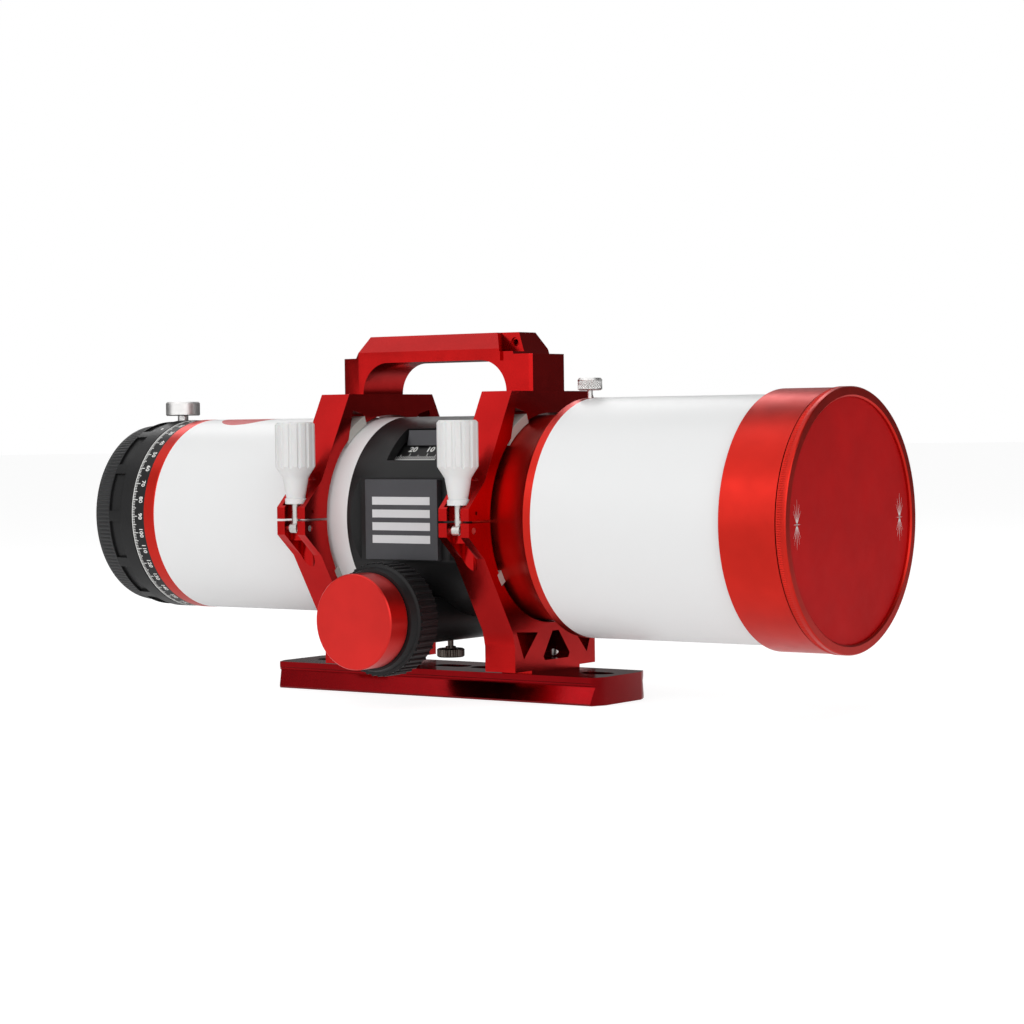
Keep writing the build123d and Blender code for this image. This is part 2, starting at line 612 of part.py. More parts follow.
write("rear_lens", lens(90.5, 95.0, 0.8, 2.6))
write("middle_lens", lens(97.6, 103.6, -2.2, -1.8))
write("front_lens", lens(104.8, 107.6, 1.6, 4.2))
spacers = None
for x0, x1 in ((87.55, 90.35), (95.3, 97.55), (103.65, 104.6)):
    spacer = tube_x(LENS_R + 0.35, LENS_R - 1.5, x0, x1)
    spacers = spacer if spacers is None else spacers + spacer
write("lens_spacers", spacers)
write("retaining_ring", tube_x(LENS_R + 0.35, LENS_R - 1.2, 107.95, 112.2))

# ---------------------------------------------------------------- front body
FLARE_X = (58.0, 77.2)
FLARE_R = 53.5
flare_edge = ThreePointArc(
    (FLARE_X[0], 0, AXIS_H + TUBE_R),
    (68.2, 0, AXIS_H + 48.3),
    (FLARE_X[1], 0, AXIS_H + FLARE_R),
)
body_edge = Polyline(*[(x, 0, AXIS_H + r) for x, r in (
    (FLARE_X[1], FLARE_R), (FLARE_X[1], SLEEVE_R), (150.0, SLEEVE_R), (150.0, 48.9), (74.0, 48.9),
    (71.0, 47.2), (69.2, 46.2), (65.2, 45.4), (64.2, 43.4), (46.5, 43.0), (33.5, 43.0), (33.5, 44.95),
    (BODY_X1 + 0.02, 44.95), (BODY_X1 + 0.02, TUBE_R), (FLARE_X[0], TUBE_R),
)])
body_outline = make_face(Curve() + [flare_edge, body_edge])
front_body = revolve(body_outline, Axis((0, 0, AXIS_H), (1, 0, 0)), 360)
write("front_body", front_body)

# ---------------------------------------------------------------- dew shield (slides along the optical axis)
SHIELD_X0 = 81.7
rim = turned_x([
    (77.4, SLEEVE_R + 0.4), (77.4, 53.6), (77.8, SHIELD_R), (SHIELD_X0, SHIELD_R), (SHIELD_X0, 52.15),
    (90.0, 52.15), (90.0, SLEEVE_R + 0.4),
])
DEW_LOCK_X = 79.5
DEW_LOCK_Y = -3.2
rim -= rod_z(1.55, AXIS_H + 45, AXIS_H + 60, DEW_LOCK_X, DEW_LOCK_Y)
write("dew_shield_rim", rim)
write("dew_shield_tube", tube_x(SHIELD_R, 52.2, SHIELD_X0 + 0.02, 201.0))
write("dew_shield_felt", tube_x(52.18, SLEEVE_R + 0.35, 90.1, 104.0))
band = turned_x([
    (178.2, 54.02), (178.2, BAND_R - 0.3), (178.5, BAND_R), (205.25, BAND_R), (205.25, 51.0), (201.1, 51.0),
    (201.1, 54.02),
])
write("dew_shield_band", band)
head = [(0, 139.8), (5.2, 139.8), (5.6, 140.2), (5.6, 144.9), (5.1, 145.4), (0, 145.4)]
dew_lock = turned_z(head, DEW_LOCK_X, DEW_LOCK_Y)
dew_lock += rod_z(1.2, AXIS_H + SLEEVE_R + 0.6, 139.9, DEW_LOCK_X, DEW_LOCK_Y)
write("dew_shield_lock_screw", dew_lock)

# ---------------------------------------------------------------- front cap
cap_rim = turned_x([
    (198.0, 48.6), (198.0, 50.65), (205.6, 50.65), (205.6, 56.3), (206.1, RIM_R), (210.1, RIM_R),
    (210.5, 56.4),
    (210.5, 53.2), (209.9, 52.5), (207.0, 52.5), (207.0, 50.5), (205.9, 50.5), (205.9, 48.6),
])
write("front_cap_rim", cap_rim)
write("front_cap_disc", rod_x(52.4, 207.05, 208.9))
mask = rod_x(50.4, 205.95, 206.95)
for i in range(-5, 6):
    z = AXIS_H + 7.4 * i
    reach = math.sqrt(46.0 ** 2 - (7.4 * i) ** 2)
    if abs(i) > 0:
        mask -= box(205, 208, 2.5, reach * 0.9, z - 1.8, z + 1.8)
    mask -= box(205, 208, -reach * 0.9, -2.5, z - 1.8, z + 1.8)
write("focusing_mask", mask)
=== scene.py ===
import json
import math

import bmesh
import bpy
from mathutils import Matrix, Vector


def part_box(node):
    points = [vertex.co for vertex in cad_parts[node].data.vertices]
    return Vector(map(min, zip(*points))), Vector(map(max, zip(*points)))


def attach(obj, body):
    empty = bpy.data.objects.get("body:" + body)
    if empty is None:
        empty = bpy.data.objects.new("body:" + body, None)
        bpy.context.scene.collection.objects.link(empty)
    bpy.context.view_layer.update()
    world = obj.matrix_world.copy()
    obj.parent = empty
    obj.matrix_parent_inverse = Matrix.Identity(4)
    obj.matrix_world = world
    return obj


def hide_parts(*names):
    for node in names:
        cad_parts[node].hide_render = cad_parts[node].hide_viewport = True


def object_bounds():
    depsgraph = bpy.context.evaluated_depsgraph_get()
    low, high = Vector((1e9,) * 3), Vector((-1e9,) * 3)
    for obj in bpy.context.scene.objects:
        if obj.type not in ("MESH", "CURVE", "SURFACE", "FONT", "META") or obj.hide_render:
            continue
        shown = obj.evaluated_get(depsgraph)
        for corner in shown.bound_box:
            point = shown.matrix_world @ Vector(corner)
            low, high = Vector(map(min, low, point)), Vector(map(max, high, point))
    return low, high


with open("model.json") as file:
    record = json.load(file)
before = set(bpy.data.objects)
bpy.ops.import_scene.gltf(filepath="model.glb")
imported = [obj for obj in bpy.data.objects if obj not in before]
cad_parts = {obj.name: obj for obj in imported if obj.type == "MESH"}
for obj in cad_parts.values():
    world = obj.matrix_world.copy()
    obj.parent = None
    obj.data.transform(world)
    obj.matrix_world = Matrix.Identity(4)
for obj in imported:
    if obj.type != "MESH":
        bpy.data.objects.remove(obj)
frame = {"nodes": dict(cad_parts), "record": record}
CAD_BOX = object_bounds()
MM = 0.001

# the optical axis height and the knob shaft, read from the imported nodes
tube_lo, tube_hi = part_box("rear_tube")
AXIS_Z = (tube_lo.z + tube_hi.z) / 2
fine_lo, fine_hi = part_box("fine_knob")
SHAFT_X = (fine_lo.x + fine_hi.x) / 2
SHAFT_Z = (fine_lo.z + fine_hi.z) / 2


# ---------------------------------------------------------------- shader helpers
class Shader:
    """A Principled material whose nodes are added one call at a time."""

    def __init__(self, name, colour, metallic, roughness, **sockets):
        self.mat = bpy.data.materials.new(name)
        self.mat.use_nodes = True
        self.nt = self.mat.node_tree
        self.bsdf = self.nt.nodes["Principled BSDF"]
        self.set("Base Color", (*colour, 1.0))
        self.set("Metallic", metallic)
        self.set("Roughness", roughness)
        for key, value in sockets.items():
            self.set(key.replace("_", " "), value)
        self.coords = self.node("ShaderNodeTexCoord").outputs["Object"]
        self.bump_out = None

    def set(self, socket, value):
        self.bsdf.inputs[socket].default_value = value

    def node(self, kind, **fields):
        n = self.nt.nodes.new(kind)
        for key, value in fields.items():
            setattr(n, key, value)
        return n

    def link(self, a, b):
        self.nt.links.new(a, b)

    def math(self, op, a, b=None):
        n = self.node("ShaderNodeMath", operation=op)
        for i, v in enumerate((a, b)):
            if v is None:
                continue
            if isinstance(v, (int, float)):
                n.inputs[i].default_value = v
            else:
                self.link(v, n.inputs[i])
        return n.outputs[0]

    def noise(self, scale, detail=2.0, vector=None):
        n = self.node("ShaderNodeTexNoise")
        n.inputs["Scale"].default_value = scale
        n.inputs["Detail"].default_value = detail
        self.link(vector or self.coords, n.inputs["Vector"])
        return n.outputs["Fac"]

    def turned(self, axis, centre):
        """Coordinates along and out from a turning axis, so noise on them makes lathe lines."""
        split = self.node("ShaderNodeSeparateXYZ")
        self.link(self.coords, split.inputs[0])
        along = split.outputs["XYZ".index(axis)]
        others = [c for c in "XYZ" if c != axis]
        squares = []
        for c in others:
            d = self.math("SUBTRACT", split.outputs["XYZ".index(c)], centre["XYZ".index(c)])
            squares.append(self.math("MULTIPLY", d, d))
        radius = self.math("SQRT", self.math("ADD", squares[0], squares[1]))
        join = self.node("ShaderNodeCombineXYZ")
        self.link(along, join.inputs[0])
        self.link(radius, join.inputs[1])
        return join.outputs[0]

    def range(self, value, low, high):
        """Spreads the middle half of a noise over low to high."""
        n = self.node("ShaderNodeMapRange")
        n.inputs["From Min"].default_value = 0.25
        n.inputs["From Max"].default_value = 0.75
        n.inputs["To Min"].default_value = low
        n.inputs["To Max"].default_value = high
        self.link(value, n.inputs["Value"])
        return n.outputs[0]

    def rough_by(self, value, low, high):
        self.link(self.range(value, low, high), self.bsdf.inputs["Roughness"])
        return self

    def colour_by(self, value, dark, light):
        ramp = self.node("ShaderNodeValToRGB")
        ramp.color_ramp.elements[0].position = 0.3
        ramp.color_ramp.elements[1].position = 0.7
        ramp.color_ramp.elements[0].color = (*dark, 1)
        ramp.color_ramp.elements[1].color = (*light, 1)
        self.link(value, ramp.inputs["Fac"])
        self.link(ramp.outputs["Color"], self.bsdf.inputs["Base Color"])
        return self

    def bump(self, value, strength, distance):
        b = self.node("ShaderNodeBump")
        b.inputs["Strength"].default_value = strength
        b.inputs["Distance"].default_value = distance
        self.link(value, b.inputs["Height"])
        if self.bump_out is not None:
            self.link(self.bump_out, b.inputs["Normal"])
        self.bump_out = b.outputs["Normal"]
        self.link(self.bump_out, self.bsdf.inputs["Normal"])
        return self


def shade(colour, factor):
    return tuple(min(1.0, c * factor) for c in colour)


RED = (0.46, 0.009, 0.009)
LINING = (0.012, 0.012, 0.012)
X_CENTRE = (0.0, 0.0, AXIS_Z)
Y_CENTRE = (SHAFT_X, 0.0, SHAFT_Z)


# noise scales in waves per metre: the blasted grain, the lathe lines and the paint's orange peel
GRAIN = 2600.0
LATHE_LINES = 5200.0
PEEL = 900.0


def anodised(name, colour, metallic, rough, axis=None, centre=X_CENTRE, coat=0.15, gloss=0.5):
    """Dyed anodising: a fine blasted grain, or lathe lines about an axis, under a thin clear layer."""
    s = Shader(name, colour, metallic, rough, Coat_Weight=coat, Coat_Roughness=rough * 0.7,
               Specular_IOR_Level=gloss)
    cloud = s.noise(45.0, 3.0)
    s.colour_by(cloud, shade(colour, 0.90), shade(colour, 1.06))
    s.rough_by(s.noise(160.0, 3.0), rough - 0.035, rough + 0.045)
    if axis:
        lines = s.noise(LATHE_LINES, 2.0, s.turned(axis, centre))
        s.bump(lines, 0.10, 0.00008)
        s.bump(s.noise(GRAIN, 2.0), 0.07, 0.00008)
    else:
        s.bump(s.noise(GRAIN, 2.0), 0.13, 0.00010)
    return s.mat


def paint(name, colour, rough, lined_below=None):
    """Powder coat with a soft orange peel.

    It is very faintly mottled, or, where lined_below gives a radius in metres, it is one colour
    beyond that radius and black within it, as a tube's lining is.
    """
    s = Shader(name, colour, 0.0, rough, Coat_Weight=0.15, Coat_Roughness=0.3)
    if lined_below:
        split = s.node("ShaderNodeSeparateXYZ")
        s.link(s.turned("X", X_CENTRE), split.inputs[0])
        outside = s.math("GREATER_THAN", split.outputs["Y"], lined_below)
        s.colour_by(outside, LINING, colour)
    else:
        s.colour_by(s.noise(60.0, 3.0), shade(colour, 0.975), shade(colour, 1.0))
    s.rough_by(s.noise(300.0, 2.0), rough - 0.04, rough + 0.05)
    s.bump(s.noise(PEEL, 3.0), 0.10, 0.00012)
    return s.mat


def plastic(name, colour, rough):
    s = Shader(name, colour, 0.0, rough, Subsurface_Weight=0.06, Subsurface_Scale=0.002)
    s.colour_by(s.noise(90.0, 3.0), shade(colour, 0.97), shade(colour, 1.0))
    s.rough_by(s.noise(420.0, 2.0), rough - 0.05, rough + 0.05)
    s.bump(s.noise(1500.0, 2.0), 0.08, 0.00008)
    return s.mat


def metal(name, colour, rough):
    s = Shader(name, colour, 1.0, rough)
    s.colour_by(s.noise(120.0, 3.0), shade(colour, 0.88), colour)
    s.rough_by(s.noise(700.0, 3.0), rough - 0.05, rough + 0.09)
    s.bump(s.noise(4200.0, 2.0), 0.12, 0.00006)
    return s.mat


def fibre(name, colour):
    s = Shader(name, colour, 0.0, 0.95, Sheen_Weight=0.5)
    s.colour_by(s.noise(1800.0, 4.0), shade(colour, 0.6), shade(colour, 1.3))
    s.bump(s.noise(2600.0, 4.0), 0.7, 0.0004)
    return s.mat


def glass(name):
    s = Shader(name, (0.92, 0.98, 0.95), 0.0, 0.02, Transmission_Weight=1.0, IOR=1.5, Coat_Weight=0.6)
    s.set("Coat Tint", (0.45, 0.95, 0.75, 1.0))
    s.bump(s.noise(60.0, 2.0), 0.01, 0.00002)
    return s.mat


# a tube is black inside these radii, which lie between its inner and outer face
SHIELD_LINING_R = 0.0532
TUBE_LINING_R = 0.0455
BLACK = (0.012, 0.012, 0.0125)
GREY = (0.060, 0.060, 0.066)
WHITE = (0.76, 0.765, 0.765)
M = {
    "red": anodised("red_anodised_milled", RED, 1.0, 0.22, coat=0.02),
    # the plate's red is made darker than the other red anodised parts: painted shade
    "red_plate_painted_shade": anodised("red_anodised_plate_painted_shade", (0.22, 0.002, 0.004), 1.0, 0.17, coat=0.06),
    "red_turned": anodised("red_anodised_turned", (0.60, 0.022, 0.014), 1.0, 0.34, "X", coat=0.06),
    "red_disc": anodised("red_anodised_disc", (0.52, 0.007, 0.008), 0.35, 0.55, "X", coat=0.0, gloss=0.15),
    "red_knob": anodised("red_anodised_knob", (0.64, 0.022, 0.018), 0.85, 0.34, "Y", Y_CENTRE, coat=0.05),
    "white": paint("white_powder_coat", WHITE, 0.42),
    "white_shield": paint("white_powder_coat_shield", WHITE, 0.42, lined_below=SHIELD_LINING_R),
    "white_tube": paint("white_powder_coat_tube", WHITE, 0.42, lined_below=TUBE_LINING_R),
    "black": anodised("black_anodised", BLACK, 0.2, 0.42, coat=0.04, gloss=0.25),
    "black_turned": anodised("black_anodised_turned", BLACK, 0.2, 0.40, "X", coat=0.05, gloss=0.25),
    "black_knob": anodised("black_anodised_knob", BLACK, 0.2, 0.44, "Y", Y_CENTRE, coat=0.04, gloss=0.25),
    "grey": anodised("grey_anodised_panel", GREY, 0.35, 0.45, coat=0.05, gloss=0.4),
    "plastic_white": plastic("white_moulded_plastic", (0.71, 0.71, 0.705), 0.40),
    "nylon": plastic("nylon_pad", (0.42, 0.41, 0.38), 0.5),
    "steel": metal("stainless_steel", (0.60, 0.59, 0.57), 0.28),
    "silver": metal("silver_anodised", (0.86, 0.85, 0.84), 0.36),
    "bronze": metal("bronze_grey_metal", (0.16, 0.135, 0.12), 0.40),
    "brass": metal("brass", (0.55, 0.40, 0.16), 0.32),
    "felt": fibre("black_felt", (0.02, 0.02, 0.022)),
    "glass": glass("coated_glass"),
    "plastic_black": plastic("black_moulded_plastic", (0.014, 0.014, 0.015), 0.45),
    "ink": paint("printed_white_ink", (0.74, 0.74, 0.72), 0.55),
    "ink_dim": paint("printed_grey_ink", (0.62, 0.62, 0.63), 0.5),
    "ink_red": paint("printed_red_ink", (0.50, 0.010, 0.012), 0.45),
}

SLOT_MATERIAL = {
    "red_anodised": "red",
    "white_paint": "white",
    "black_anodised": "black",
    "grey_panel": "grey",
    "white_plastic": "plastic_white",
    "nylon": "nylon",
    "steel": "steel",
    "silver": "silver",
    "bronze_grey": "bronze",
    "brass": "brass",
    "felt": "felt",
    "coated_glass": "glass",
    "black_plastic": "plastic_black",
}
NODE_MATERIAL = {
    "dew_shield_tube": "white_shield",
    "rear_tube": "white_tube",
    "dovetail_plate": "red_plate_painted_shade",
    "rear_collar": "red_turned",
    "front_body": "red_turned",
    "dew_shield_rim": "red_turned",
    "dew_shield_band": "red_turned",
    "front_cap_rim": "red_turned",
    "front_cap_disc": "red_disc",
    "fine_knob": "red_knob",
    "angle_scale_ring": "black_turned",
    "rotator_ring": "black_turned",
    "rear_adapter": "black_turned",
    "coarse_knob": "black_knob",
    "left_coarse_knob": "black_knob",
    "focuser_body": "black_turned",
}
BEVEL_MM = {
    "dovetail_plate": 0.35,
    "rear_ring_lower": 0.35,
    "front_ring_lower": 0.35,
    "rear_ring_upper": 0.35,
    "front_ring_upper": 0.35,
    "handle": 0.45,
    "right_side_panel": 0.3,
    "left_side_panel": 0.3,
    "focuser_body": 0.25,
    "rear_adapter": 0.35,
    "rear_clamp_knob": 0.25,
    "front_clamp_knob": 0.25,
}

slots = {row["node"]: row["material_slot"] for row in frame["record"]["subparts"]}
for node, obj in frame["nodes"].items():
    key = NODE_MATERIAL.get(node, SLOT_MATERIAL[slots[node]])
    if not obj.material_slots:
        obj.data.materials.append(M[key])
    for entry in obj.material_slots:
        entry.material = M[key]
    if node in BEVEL_MM:
        weld = obj.modifiers.new("weld", "WELD")
        weld.merge_threshold = 0.000002
        flat = obj.modifiers.new("flat", "DECIMATE")
        flat.decimate_type = "DISSOLVE"
        flat.angle_limit = math.radians(0.6)
        edge = obj.modifiers.new("edge", "BEVEL")
        edge.width = BEVEL_MM[node] * MM
        edge.segments = 2
        edge.limit_method = "ANGLE"
        edge.angle_limit = math.radians(32)
        edge.use_clamp_overlap = True
        edge.harden_normals = False
        normals = obj.modifiers.new("normals", "WEIGHTED_NORMAL")
        normals.keep_sharp = False
        normals.weight = 60


# ---------------------------------------------------------------- geometry helpers
def piece(name, bm, material, body, smooth=None):
    mesh = bpy.data.meshes.new(name)
    bmesh.ops.recalc_face_normals(bm, faces=bm.faces[:])
    bm.to_mesh(mesh)
    bm.free()
    mesh.materials.append(M[material])
    obj = bpy.data.objects.new(name, mesh)
    bpy.context.scene.collection.objects.link(obj)
    if smooth is not None:
        for poly in mesh.polygons:
            poly.use_smooth = True
        mesh.set_sharp_from_angle(angle=math.radians(smooth))
    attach(obj, body)
    return obj


def on_cylinder(x, angle, radius):
    """A point at x, angle degrees from the top towards the right side, radius from the optical axis."""
    a = math.radians(angle)
    return Vector((x * MM, -radius * MM * math.sin(a), AXIS_Z + radius * MM * math.cos(a)))


def block(bm, corners_low, corners_high):
    """A closed solid between two matching loops of points."""
    low = [bm.verts.new(p) for p in corners_low]
    high = [bm.verts.new(p) for p in corners_high]
    n = len(low)
    bm.faces.new(list(reversed(low)))
    bm.faces.new(high)
    for i in range(n):
        bm.faces.new((low[i], low[(i + 1) % n], high[(i + 1) % n], high[i]))


def curved_bar(bm, x0, x1, a0, a1, r_in, r_out, steps=1):
    """A bar that hugs the cylinder from angle a0 to a1, in steps flat lengths."""
    for i in range(steps):
        b0 = a0 + (a1 - a0) * i / steps
        b1 = a0 + (a1 - a0) * (i + 1) / steps
        ends = ((x0, b0), (x1, b0), (x1, b1), (x0, b1))
        inner = [on_cylinder(x, b, r_in) for x, b in ends]
        outer = [on_cylinder(x, b, r_out) for x, b in ends]
        block(bm, inner, outer)


def text_mesh(text, size, depth):
    """Numerals as a mesh, centred, size and depth in millimetres."""
    curve = bpy.data.curves.new("numeral", "FONT")
    curve.body = text
    curve.size = size
    curve.extrude = depth / 2
    curve.offset = size * 0.02
    curve.align_x = "CENTER"
    curve.align_y = "CENTER"
    curve.resolution_u = 3
    obj = bpy.data.objects.new("numeral", curve)
    bpy.context.scene.collection.objects.link(obj)
    bpy.context.view_layer.update()
    graph = bpy.context.evaluated_depsgraph_get()
    mesh = bpy.data.meshes.new_from_object(obj.evaluated_get(graph))
    bpy.data.objects.remove(obj)
    bpy.data.curves.remove(curve)
    return mesh


def add_mapped(bm, mesh, place):
    """Adds a mesh to bm with every point put through place(x, y, z)."""
    verts = [bm.verts.new(place(*v.co)) for v in mesh.vertices]
    for poly in mesh.polygons:
        try:
            bm.faces.new([verts[i] for i in poly.vertices])
        except ValueError:
            pass
    bpy.data.meshes.remove(mesh)


LATHE_SMOOTH = 35


def turned_piece(name, axis, centre, profile, material, body, knurl, count, per=6, ring=False):
    """A lathe solid from (along, radius) pairs in mm.

    knurl is (from, to, depth, slant), cut inwards in count ridges of per facets each; a slant cuts
    them both ways. A ring profile closes on itself and leaves the middle open.
    """
    bm = bmesh.new()
    segments = count * per
    start, end, depth, slant = knurl
    ways = (1, -1) if slant else (1,)
    rows = []
    for s, r in profile:
        row = []
        for i in range(segments):
            turn = i / segments
            rr = r
            if start <= s <= end:
                for way in ways:
                    phase = turn * count + way * slant * (s - start)
                    rr -= depth * (0.5 - 0.5 * math.cos(2 * math.pi * phase)) ** 2
            a = 2 * math.pi * turn
            u, v = rr * math.cos(a) * MM, rr * math.sin(a) * MM
            p = {"X": (s * MM, u, v), "Y": (u, s * MM, v), "Z": (u, v, s * MM)}[axis]
            row.append(bm.verts.new(Vector(p) + Vector(centre)))
        rows.append(row)
    for a, b in zip(rows, rows[1:] + rows[:1] if ring else rows[1:]):
        for i in range(segments):
            j = (i + 1) % segments
            bm.faces.new((a[i], a[j], b[j], b[i]))
    if not ring:
        bm.faces.new(rows[0])
        bm.faces.new(rows[-1])
    return piece(name, bm, material, body, LATHE_SMOOTH)


def mm(value):
    return value / MM


# printed marks stand out of their surface by INK and go down into it by SINK, in mm
INK = 0.04
SINK = 0.02
NUMERAL_DEPTH = 0.06
NUMERAL_LIFT = 0.015


def tick_length(number, tens, fives, ones):
    return tens if number % 10 == 0 else fives if number % 5 == 0 else ones


# ---------------------------------------------------------------- angle scale at the rear
ring_lo, ring_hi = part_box("angle_scale_ring")
ring_r = mm(ring_hi.y)
ring_x0 = mm(ring_lo.x)
TICK_X = ring_x0 + 0.45
NUMERAL_X = ring_x0 + 5.3
bm = bmesh.new()
for degree in range(360):
    length = tick_length(degree, 2.9, 2.1, 1.3)
    half = 0.14 if degree % 5 else 0.18
    spread = math.degrees(half / ring_r)
    curved_bar(bm, TICK_X, TICK_X + length, degree - spread, degree + spread,
               ring_r - SINK, ring_r + INK)
# the line round the ring that the ticks start from
curved_bar(bm, ring_x0 + 0.05, ring_x0 + 0.42, 0, 360, ring_r - SINK, ring_r + INK, 180)
piece("angle_scale_ticks", bm, "ink", "base")
bm = bmesh.new()
for number in range(0, 360, 10):
    mesh = text_mesh(str(number), 3.2, NUMERAL_DEPTH)

    def on_ring(x, y, z, number=number):
        return on_cylinder(NUMERAL_X + y, number + math.degrees(x / ring_r), ring_r + NUMERAL_LIFT + z)

    add_mapped(bm, mesh, on_ring)
piece("angle_scale_numerals", bm, "ink", "base")

# ---------------------------------------------------------------- index dot on the rotator
dot_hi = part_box("rotator_ring")[1]
rot_r = mm(dot_hi.y)
DOT_X = mm(dot_hi.x) - 3.9
DOT_ANGLE = 24.6
DOT_R = 0.8
DOT_SIDES = 24
bm = bmesh.new()
turns = [2 * math.pi * i / DOT_SIDES for i in range(DOT_SIDES)]
loop = [(DOT_X + DOT_R * math.cos(t), DOT_ANGLE + math.degrees(DOT_R * math.sin(t) / rot_r)) for t in turns]
low = [on_cylinder(x, a, rot_r - SINK) for x, a in loop]
high = [on_cylinder(x, a, rot_r + INK) for x, a in loop]
block(bm, low, high)
piece("rotator_index_dot", bm, "ink", "rotator")

# ---------------------------------------------------------------- focus scale behind the window
scale_lo, scale_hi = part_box("focus_scale")
SCALE_TURN = math.radians(41.5)
SCALE_TOP = 39.9
ZERO_X = 15.6
TICK_FOOT = -4.3
TICK_HALF = 0.13
BASELINE_X = (mm(scale_lo.x) + 0.9, mm(scale_hi.x) - 0.9)
BASELINE_Y = (-4.75, -4.4)


def on_scale(x, y, z):
    """x along the tube, y across the strip towards the top, z out from it, in mm."""
    out = SCALE_TOP + z
    return Vector((
        x * MM,
        (y * math.cos(SCALE_TURN) - out * math.sin(SCALE_TURN)) * MM,
        AXIS_Z + (y * math.sin(SCALE_TURN) + out * math.cos(SCALE_TURN)) * MM,
    ))


def scale_bar(bm, x0, x1, y0, y1):
    """A printed rectangle on the strip."""
    ends = ((x0, y0), (x1, y0), (x1, y1), (x0, y1))
    block(bm, [on_scale(a, b, -SINK) for a, b in ends], [on_scale(a, b, INK) for a, b in ends])


bm = bmesh.new()
for i in range(-16, 40):
    x = ZERO_X - i
    scale_bar(bm, x - TICK_HALF, x + TICK_HALF, TICK_FOOT, TICK_FOOT + tick_length(i, 3.9, 3.0, 2.0))
scale_bar(bm, *BASELINE_X, *BASELINE_Y)
piece("focus_scale_ticks", bm, "ink", "carriage")
bm = bmesh.new()
for i in (-10, 0, 10, 20, 30):
    mesh = text_mesh(str(abs(i)), 4.6, NUMERAL_DEPTH)

    def beside(x, y, z, i=i):
        return on_scale(ZERO_X - i + x, 2.2 + y, NUMERAL_LIFT + z)

    add_mapped(bm, mesh, beside)
piece("focus_scale_numerals", bm, "ink", "carriage")

# ---------------------------------------------------------------- plain motif on the side panels
# four bars, one above the other, in metres
BAR_COUNT = 4
BAR_HALF = 0.0165
BAR_HEIGHT = 0.0036
BAR_PITCH = 0.0058
BAR_FOOT = 0.0075
for side, sign in (("right", -1), ("left", 1)):
    p_lo, p_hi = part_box(f"{side}_side_panel")
    face_y = p_lo.y if sign < 0 else p_hi.y
    bm = bmesh.new()
    cx = (p_lo.x + p_hi.x) / 2
    x0, x1 = cx - BAR_HALF, cx + BAR_HALF
    for k in range(BAR_COUNT):
        z0 = p_lo.z + BAR_FOOT + BAR_PITCH * k
        ends = [(x0, z0), (x1, z0), (x1, z0 + BAR_HEIGHT), (x0, z0 + BAR_HEIGHT)]
        low = [Vector((x, face_y - sign * 0.00002, z)) for x, z in ends]
        high = [Vector((x, face_y + sign * 0.00005, z)) for x, z in ends]
        block(bm, low, high)
    piece(f"{side}_panel_bars", bm, "ink_dim", "base")

# ---------------------------------------------------------------- round decal on the rear tube
tube_r = mm(tube_hi.y)
DECAL_X, DECAL_R = -122.5, 16.0
DECAL_STRIPS = 64
bm = bmesh.new()
# each strip runs along the tube, so that the decal follows the curve from one strip to the next
top, under = [], []
for i in range(DECAL_STRIPS + 1):
    t = math.pi * i / DECAL_STRIPS
    half, angle = DECAL_R * math.sin(t), math.degrees(DECAL_R * math.cos(t) / tube_r)
    for group, r in ((top, tube_r + INK), (under, tube_r - SINK)):
        group.append([bm.verts.new(on_cylinder(DECAL_X + w * half, angle, r)) for w in (-1, 1)])
for i in range(DECAL_STRIPS):
    for group in (top, under):
        bm.faces.new((group[i][0], group[i][1], group[i + 1][1], group[i + 1][0]))
    for w in (0, 1):
        bm.faces.new((top[i][w], top[i + 1][w], under[i + 1][w], under[i][w]))
bmesh.ops.remove_doubles(bm, verts=bm.verts[:], dist=0.0000005)
piece("tube_decal", bm, "ink_red", "base", 40)

# ---------------------------------------------------------------- small star marks on the front cap
disc_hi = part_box("front_cap_disc")[1]
STAR_Y = 0.0445
STAR_HALF = 0.00016
# each ray crosses the middle of its star: degrees from +Y, reach in metres
STAR_RAYS = ((0, 0.0030), (62, 0.0064), (76, 0.0086), (90, 0.0104), (104, 0.0086), (118, 0.0064))
OUT = Vector((0.00004, 0, 0))
bm = bmesh.new()
for y0 in (-STAR_Y, STAR_Y):
    c = Vector((disc_hi.x, y0, AXIS_Z))
    for angle, reach in STAR_RAYS:
        a = math.radians(angle)
        along = Vector((0, math.cos(a), math.sin(a)))
        across = Vector((0, -math.sin(a), math.cos(a)))
        tips = [c + along * reach, c + across * STAR_HALF, c - along * reach, c - across * STAR_HALF]
        block(bm, [p - OUT * 0.5 for p in tips], [p + OUT for p in tips])
piece("cap_star_marks", bm, "ink", "front_cover")

# ---------------------------------------------------------------- knurled screws and rims
# the dew shield's lock screw: a plain shank under a head with crossed ridges
lo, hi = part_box("dew_shield_lock_screw")
cx, cy = (lo.x + hi.x) / 2, (lo.y + hi.y) / 2
top, r = mm(hi.z), mm(hi.x - lo.x) / 2
head = top - 5.6
rows = [(mm(lo.z), 1.2), (head, 1.2), (head, r - 0.9), (head + 0.5, r - 0.15)]
rows += [(head + 0.5 + 4.1 * i / 14, r) for i in range(15)]
rows += [(top - 0.6, r - 0.3), (top, r - 0.75), (top, r - 2.0), (top - 0.35, r - 2.2)]
turned_piece("dew_lock_knurled", "Z", (cx, cy, 0), rows, "silver", "dew_lock",
             (head + 0.6, top - 1.1, 0.42, 0.9), 26)
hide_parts("dew_shield_lock_screw")

